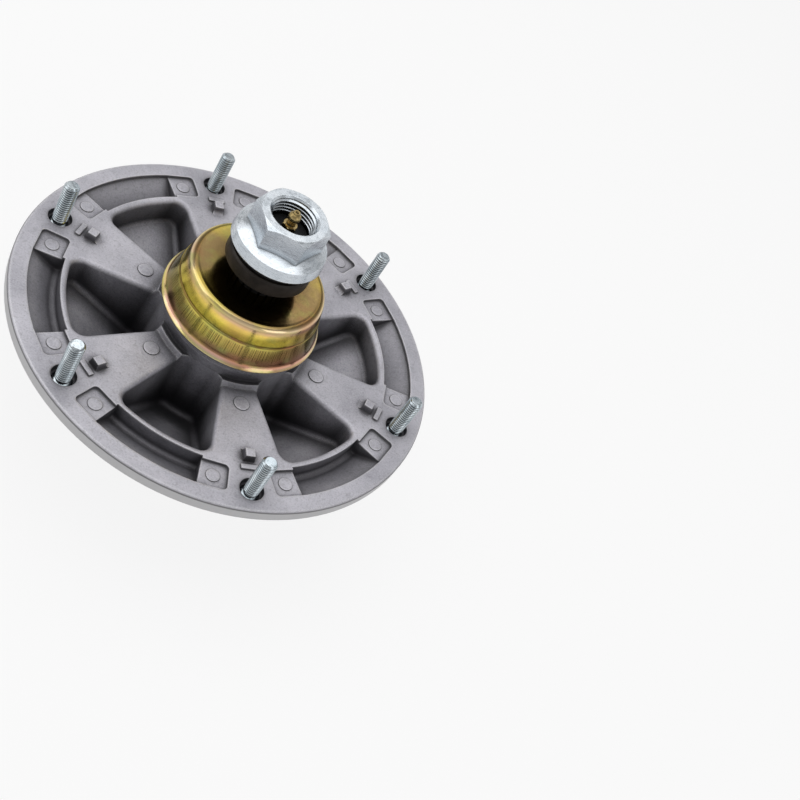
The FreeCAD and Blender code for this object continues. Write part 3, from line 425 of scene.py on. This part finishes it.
def dark_steel(name, colour, low, high, metal):
    """Blackened steel of a colour, with its roughness between two values."""
    made, tree, shader = material(name, Metallic=metal, Specular_IOR_Level=0.25)
    where = place(tree)
    speck = noise(tree, where, 800, 3)
    cloud = noise(tree, where, 120, 3)
    lighter = tuple(value * 2.5 for value in colour)
    wire(tree, shader, Base_Color=mixed(tree, spread(tree, cloud, 0.35, 0.65), colour, lighter))
    wire(tree, shader, Roughness=spread(tree, speck, 0.3, 0.7, low, high))
    wire(tree, shader, Normal=bump(tree, speck, 0.15, 0.1))
    return made


def bright_metal(name, dull, clear, low, high):
    """Bare turned metal between two colours, with its roughness between two values."""
    made, tree, shader = material(name, Metallic=1.0)
    cloud = noise(tree, place(tree), 200, 3)
    line = noise(tree, place(tree, (1, 1, 12)), 300, 2)
    wire(tree, shader, Base_Color=mixed(tree, spread(tree, cloud, 0.35, 0.65), dull, clear))
    wire(tree, shader, Roughness=spread(tree, line, 0.3, 0.7, low, high))
    wire(tree, shader, Normal=bump(tree, line, 0.06, 0.1))
    return made


def rubber():
    """Black rubber of the seals."""
    made, tree, shader = material("seal_rubber")
    speck = noise(tree, place(tree), 900, 3)
    wire(tree, shader, Base_Color=mixed(tree, speck, (0.012, 0.012, 0.012), (0.03, 0.03, 0.03)))
    wire(tree, shader, Roughness=spread(tree, speck, 0.3, 0.7, 0.5, 0.7))
    return made


FINISHES = {
    "cast_aluminium": cast_aluminium(),
    "zinc_steel": plated_steel(),
    "yellow_zinc": yellow_zinc(),
    "black_steel": dark_steel("black_steel", (0.003, 0.003, 0.0035), 0.45, 0.6, 0.0),
    "dark_collar": dark_steel("dark_collar", (0.016, 0.013, 0.011), 0.32, 0.45, 0.25),
    "bearing_steel": bright_metal("bearing_steel", (0.55, 0.56, 0.58), (0.7, 0.7, 0.72), 0.12, 0.22),
    "seal_rubber": rubber(),
    "fitting_brass": bright_metal("fitting_brass", (0.26, 0.19, 0.08), (0.42, 0.32, 0.15), 0.22, 0.34),
}
ROLLED = rolled_steel()
for entry in frame["record"]["subparts"]:
    slots = frame["nodes"][entry["node"]].data.materials
    slots.clear()
    slots.append(FINISHES[entry["material_slot"]])


# Meshes as points and faces, the points in millimetres

WELD = 0.0002
SPARE_TURNS = 2


def piece(name, form, slot, body, replaced=None, sharp=35, finish=None):
    """Mesh piece from points and faces, cleaned, shaded and set on its body."""
    points, faces = form
    mesh = bpy.data.meshes.new(name)
    mesh.from_pydata([tuple(value * MM for value in point) for point in points], [], faces)
    work = bmesh.new()
    work.from_mesh(mesh)
    bmesh.ops.remove_doubles(work, verts=work.verts, dist=WELD * MM)
    bmesh.ops.dissolve_degenerate(work, edges=work.edges, dist=WELD * MM / 2)
    bmesh.ops.recalc_face_normals(work, faces=work.faces)
    work.to_mesh(mesh)
    work.free()
    mesh.polygons.foreach_set("use_smooth", [True] * len(mesh.polygons))
    mesh.set_sharp_from_angle(angle=math.radians(sharp))
    mesh.materials.append(finish or FINISHES[slot])
    made = bpy.data.objects.new(name, mesh)
    scene.collection.objects.link(made)
    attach(made, body)
    if replaced:
        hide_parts(replaced)


def polar(radius, turn, height):
    """Point at a radius, a share of a turn and a height."""
    angle = 2 * math.pi * turn
    return radius * math.cos(angle), radius * math.sin(angle), height


def lathe(profile, columns, closed=True):
    """Turned profile of corners: radius, height and, where it isn't round, a ripple for each column."""
    points, faces = [], []
    for radius, height, *ripple in profile:
        radii = radius + (ripple[0] if ripple else np.zeros(columns))
        points += [polar(reach, column / columns, height) for column, reach in enumerate(radii)]
    rows = len(profile)
    for row in range(rows if closed else rows - 1):
        below, above = row * columns, (row + 1) % rows * columns
        for column in range(columns):
            following = (column + 1) % columns
            faces.append((below + column, below + following, above + following, above + column))
    return points, faces


def screw(pitch, low, high, columns, section, radius_at):
    """Thread between two heights; section gives (share of the pitch, radius)."""
    count = len(section)
    rows = (math.ceil((high - low) / pitch) + 2 * SPARE_TURNS) * count
    points, faces = [], []
    for row in range(rows):
        share, radius = section[row % count]
        for column in range(columns):
            turn = column / columns
            height = low + pitch * (row // count - SPARE_TURNS + share + turn)
            height = min(max(height, low), high)
            points.append(polar(radius_at(height, radius), turn, height))

    def following(row, column):
        """Next point along the thread, a pitch higher where a turn ends."""
        return row * columns + column + 1 if column + 1 < columns else (row + count) * columns

    for row in range(rows - 1):
        for column in range(columns if row + 1 + count < rows else columns - 1):
            faces.append((row * columns + column, following(row, column),
                          following(row + 1, column), (row + 1) * columns + column))
    return points, faces


def joined(*forms):
    """Several sets of points and faces as one."""
    points, faces = [], []
    for more_points, more_faces in forms:
        start = len(points)
        points += more_points
        faces += [tuple(index + start for index in face) for face in more_faces]
    return points, faces


def arc(centre, radius, first, last, steps):
    """Corners on an arc of a profile, angles in degrees."""
    angles = np.radians(np.linspace(first, last, steps))
    return [(centre[0] + radius * math.cos(a), centre[1] + radius * math.sin(a)) for a in angles]


# Mounting studs with rolled threads and knurled necks

def stud_radius(height, radius):
    """Radius of the thread, which grows out of the shank and is cut by the cone of the tip."""
    fade = min(1.0, (height - THREAD_FOOT) / THREAD_START)
    tip = STUD_TIP + (STUD_TOP - height)
    return min(THREAD_ROOT + (radius - THREAD_ROOT) * fade, tip)


def stud():
    columns = 48
    flank = THREAD_CREST - 0.04
    section = [(0.0, THREAD_ROOT), (0.16, THREAD_ROOT), (0.50, flank), (0.58, THREAD_CREST), (0.66, flank)]
    thread = screw(THREAD_PITCH, THREAD_FOOT, STUD_TOP, columns, section, stud_radius)
    knurl = np.where(np.arange(columns) % 2 == 0, 0.0, -KNURL_DEPTH)
    head = [(0.0, STUD_FOOT), (HEAD_RADIUS - 0.6, STUD_FOOT), (HEAD_RADIUS, STUD_FOOT + 0.6),
            (HEAD_RADIUS, HEAD_TOP - 0.5), (HEAD_RADIUS - 0.5, HEAD_TOP)]
    neck = [(NECK_RADIUS, HEAD_TOP), (NECK_RADIUS, HEAD_TOP + 0.4, knurl),
            (NECK_RADIUS, NECK_TOP - 0.6, knurl), (NECK_RADIUS - 0.6, NECK_TOP, knurl),
            (THREAD_ROOT, NECK_TOP + 0.4), (THREAD_ROOT, THREAD_FOOT)]
    foot = lathe(head + neck, columns, closed=False)
    tip = lathe([(STUD_TIP, STUD_TOP), (0.0, STUD_TOP)], columns, closed=False)
    return joined(thread, foot, tip)


def studs():
    """All the studs, each turned a different way in its hole."""
    points, faces = stud()
    rows = np.array(points)
    own_turn = 0.37
    forms = []
    for index in range(STUD_COUNT):
        turn = Matrix.Rotation(2 * math.pi * (index * own_turn % 1), 3, "Z")
        centre = polar(STUD_CIRCLE / 2, index / STUD_COUNT, 0.0)
        moved = rows @ np.array(turn).T + np.array(centre)
        forms.append(([tuple(row) for row in moved], faces))
    piece("threaded_studs", joined(*forms), "zinc_steel", "housing", "mounting_studs",
          sharp=40, finish=ROLLED)


# Thread inside the nut

def nut_radius(height, radius):
    """Radius of the thread, which runs out at both ends."""
    above = (height - NUT_THREAD_FOOT) / NUT_THREAD_START
    below = (NUT_THREAD_TOP - height) / NUT_THREAD_END
    return NUT_THREAD_ROOT - (NUT_THREAD_ROOT - radius) * min(1.0, above, below)


def nut_thread():
    columns = 128
    section = [(0.0, NUT_THREAD_ROOT), (0.12, NUT_THREAD_ROOT),
               (0.44, NUT_THREAD_CREST), (0.68, NUT_THREAD_CREST)]
    thread = screw(NUT_PITCH, NUT_THREAD_FOOT, NUT_THREAD_TOP, columns, section, nut_radius)
    back = NUT_THREAD_ROOT + NUT_SHELL
    shell = lathe([(NUT_THREAD_ROOT, NUT_THREAD_TOP), (back, NUT_THREAD_TOP),
                   (back, NUT_THREAD_FOOT), (NUT_THREAD_ROOT, NUT_THREAD_FOOT)], columns, closed=False)
    piece("nut_thread", joined(thread, shell), "zinc_steel", "spindle", sharp=30)


# Pressed cup with a beaded top edge, a seam, a flared skirt and a rolled rim

def cup():
    dish = CUP_TOP - DISH_DEPTH
    top = [(CUP_HOLE, dish), (24.0, dish), (31.2, dish), (32.2, dish + 0.08)]
    bead = arc((BEAD_RADIUS, CUP_TOP - BEAD), BEAD, 90, 11.1, 9)
    wall = [(37.0, SEAM_HEIGHT + 4.1), (SEAM_RADIUS + 0.12, SEAM_HEIGHT + 0.55)]
    seam = [(SEAM_RADIUS + 0.16, SEAM_HEIGHT + 0.3), (SEAM_RADIUS, SEAM_HEIGHT + 0.15),
            (SEAM_RADIUS + 0.04, SEAM_HEIGHT), (SEAM_RADIUS + 0.36, SEAM_HEIGHT - 0.1),
            (SEAM_RADIUS + 0.58, SEAM_HEIGHT - 0.4), (SEAM_RADIUS + 0.7, SEAM_HEIGHT - 0.8)]
    skirt = [(40.28, CUP_FOOT + 4.6), (40.4, CUP_FOOT + 4.2), (40.6, CUP_FOOT + 3.1),
             (40.95, CUP_FOOT + 2.3), (41.6, CUP_FOOT + 1.4), (42.35, CUP_FOOT + 0.75)]
    rim = arc((ROLL_RADIUS, CUP_FOOT + ROLL), ROLL, 45, -90, 6)
    ceiling = CUP_TOP - CUP_WALL
    inside = [(41.2, CUP_FOOT + 0.25), (40.3, CUP_FOOT + 1.4), (39.0, CUP_FOOT + 3.0),
              (36.7, SEAM_HEIGHT - 0.7), (36.2, SEAM_HEIGHT + 0.1), (34.6, ceiling - 1.3),
              (33.6, ceiling - 0.2), (32.9, ceiling), (CUP_HOLE, ceiling)]
    form = lathe(top + bead + wall + seam + skirt + rim + inside, columns=240)
    piece("pressed_cup", form, "yellow_zinc", "spindle", "dust_cover", sharp=50)


# Grease fitting with a chamfered hexagon and a ball head

def hex_cut(corners, columns):
    """Ripple that cuts a round corner radius down to a hexagon's flats."""
    turns = 2 * math.pi * np.arange(columns) / columns
    flats = HEX_FLATS / 2 / np.cos((turns + math.pi / 6) % (math.pi / 3) - math.pi / 6)
    return np.minimum(flats - corners, 0.0)


def fitting():
    columns = 96
    shank = [(FEED_BORE, FITTING_FOOT), (SHANK_RADIUS - 0.3, FITTING_FOOT),
             (SHANK_RADIUS, FITTING_FOOT + 0.4), (SHANK_RADIUS, SHAFT_END)]
    hexagon = [(HEX_CORNERS - 0.35, SHAFT_END), (HEX_CORNERS, SHAFT_END + 0.3),
               (HEX_CORNERS, HEX_TOP - 0.4), (HEX_CORNERS - 0.55, HEX_TOP)]
    hexagon = [(radius, height, hex_cut(radius, columns)) for radius, height in hexagon]
    neck = [(FITTING_NECK + 0.2, HEX_TOP + 0.05), (FITTING_NECK, HEX_TOP + 0.5),
            (FITTING_NECK, HEX_TOP + 1.9), (FITTING_NECK + 0.15, HEX_TOP + 2.2)]
    head = arc((0.4, FITTING_TOP - 3.4), BALL_HEAD, -48, 60, 13)
    lip = [(1.8, FITTING_TOP - 0.5), (1.7, FITTING_TOP - 0.15),
           (1.5, FITTING_TOP), (MOUTH + 0.15, FITTING_TOP)]
    bore = [(MOUTH, FITTING_TOP - 0.15), (MOUTH, FITTING_TOP - 1.0), (CHECK_BORE, FITTING_TOP - 1.8),
            (CHECK_BORE, CHECK_FOOT), (FEED_BORE, CHECK_FOOT)]
    form = lathe(shank + hexagon + neck + head + lip + bore, columns)
    piece("ball_fitting", form, "fitting_brass", "spindle", "grease_fitting", sharp=30)


studs()
nut_thread()
cup()
fitting()


# Floor, light and camera

FLOOR_GAP = 0.3
FLOOR_REACH = 6.0
LAMP_AIM = Vector((0, 0, 0.02))
LENS = 56.094
SENSOR = 36
CAMERA_PLACE = (17.278, -470.470, 452.839)
CAMERA_TURN = (40.6604, -27.2967, 18.8105)


def bare_tree(made):
    """Empty node tree of a material or a world."""
    made.use_nodes = True
    made.node_tree.nodes.clear()
    return made.node_tree


def seen_rays(tree):
    """Light path outputs, and 1 for the rays that show a surface rather than light it."""
    rays = node(tree, "ShaderNodeLightPath").outputs
    seen = maths(tree, "MAXIMUM", rays["Is Camera Ray"], rays["Is Glossy Ray"])
    return rays, maths(tree, "MAXIMUM", seen, rays["Is Transmission Ray"])


def pale_floor():
    """Floor that looks white and takes a soft shadow."""
    made = bpy.data.materials.new("floor")
    tree = bare_tree(made)
    rays, seen = seen_rays(tree)
    dull = node(tree, "ShaderNodeBsdfDiffuse", {"Color": (0.8, 0.8, 0.8, 1)}).outputs[0]
    glow = node(tree, "ShaderNodeEmission", {"Color": (1, 1, 1, 1), "Strength": 1.0}).outputs[0]
    share = times(tree, seen, spread(tree, rays["Is Camera Ray"], 0, 1, 0.7, 0.87))
    both = node(tree, "ShaderNodeMixShader", {0: share, 1: dull, 2: glow}).outputs[0]
    node(tree, "ShaderNodeOutputMaterial", {0: both})
    return made


def floor():
    low = cad_box[0][2] - FLOOR_GAP * MM
    mesh = bpy.data.meshes.new("floor")
    corners = [(-1, -1), (1, -1), (1, 1), (-1, 1)]
    mesh.from_pydata([(x * FLOOR_REACH, y * FLOOR_REACH, low) for x, y in corners], [], [(0, 1, 2, 3)])
    mesh.materials.append(pale_floor())
    plane = bpy.data.objects.new("floor", mesh)
    scene.collection.objects.link(plane)


def world():
    """White surroundings, dimmer overhead where they are mirrored."""
    scene.world = bpy.data.worlds.new("studio")
    tree = bare_tree(scene.world)
    rays, seen = seen_rays(tree)
    direction = node(tree, "ShaderNodeTexCoord").outputs["Generated"]
    height = node(tree, "ShaderNodeSeparateXYZ", {0: direction}).outputs[2]
    dome = spread(tree, height, 0.05, 0.5, 1.0, 0.5)
    shown = maths(tree, "MAXIMUM", dome, rays["Is Camera Ray"])
    strength = node(tree, "ShaderNodeMix", {0: seen, 2: 0.3, 3: shown}, data_type="FLOAT").outputs[0]
    sky = node(tree, "ShaderNodeBackground", {"Color": (1, 1, 1, 1), "Strength": strength}).outputs[0]
    node(tree, "ShaderNodeOutputWorld", {0: sky})


def lamp(name, where, size, radiance):
    """Square soft box of a side in metres and a radiance, aimed at the object."""
    data = bpy.data.lights.new(name, "AREA")
    data.shape = "SQUARE"
    data.size = size
    data.energy = radiance * math.pi * size * size
    made = bpy.data.objects.new(name, data)
    made.location = where
    made.rotation_euler = (LAMP_AIM - Vector(where)).to_track_quat("-Z", "Y").to_euler()
    scene.collection.objects.link(made)


def camera():
    """Camera placed in millimetres and turned in degrees."""
    data = bpy.data.cameras.new("camera")
    data.sensor_width = SENSOR
    data.lens = LENS
    made = bpy.data.objects.new("camera", data)
    turn = Euler([math.radians(angle) for angle in CAMERA_TURN])
    made.matrix_world = Matrix.LocRotScale(Vector(CAMERA_PLACE) * MM, turn, None)
    scene.collection.objects.link(made)
    scene.camera = made


floor()
world()
lamp("over", (-0.15, 0.22, 1.2), size=1.5, radiance=1.3)
lamp("left", (-0.95, -0.25, 0.75), size=0.9, radiance=1.1)
lamp("right", (0.95, -0.45, 0.6), size=0.6, radiance=1.0)
camera()
scene.view_settings.view_transform = "Standard"
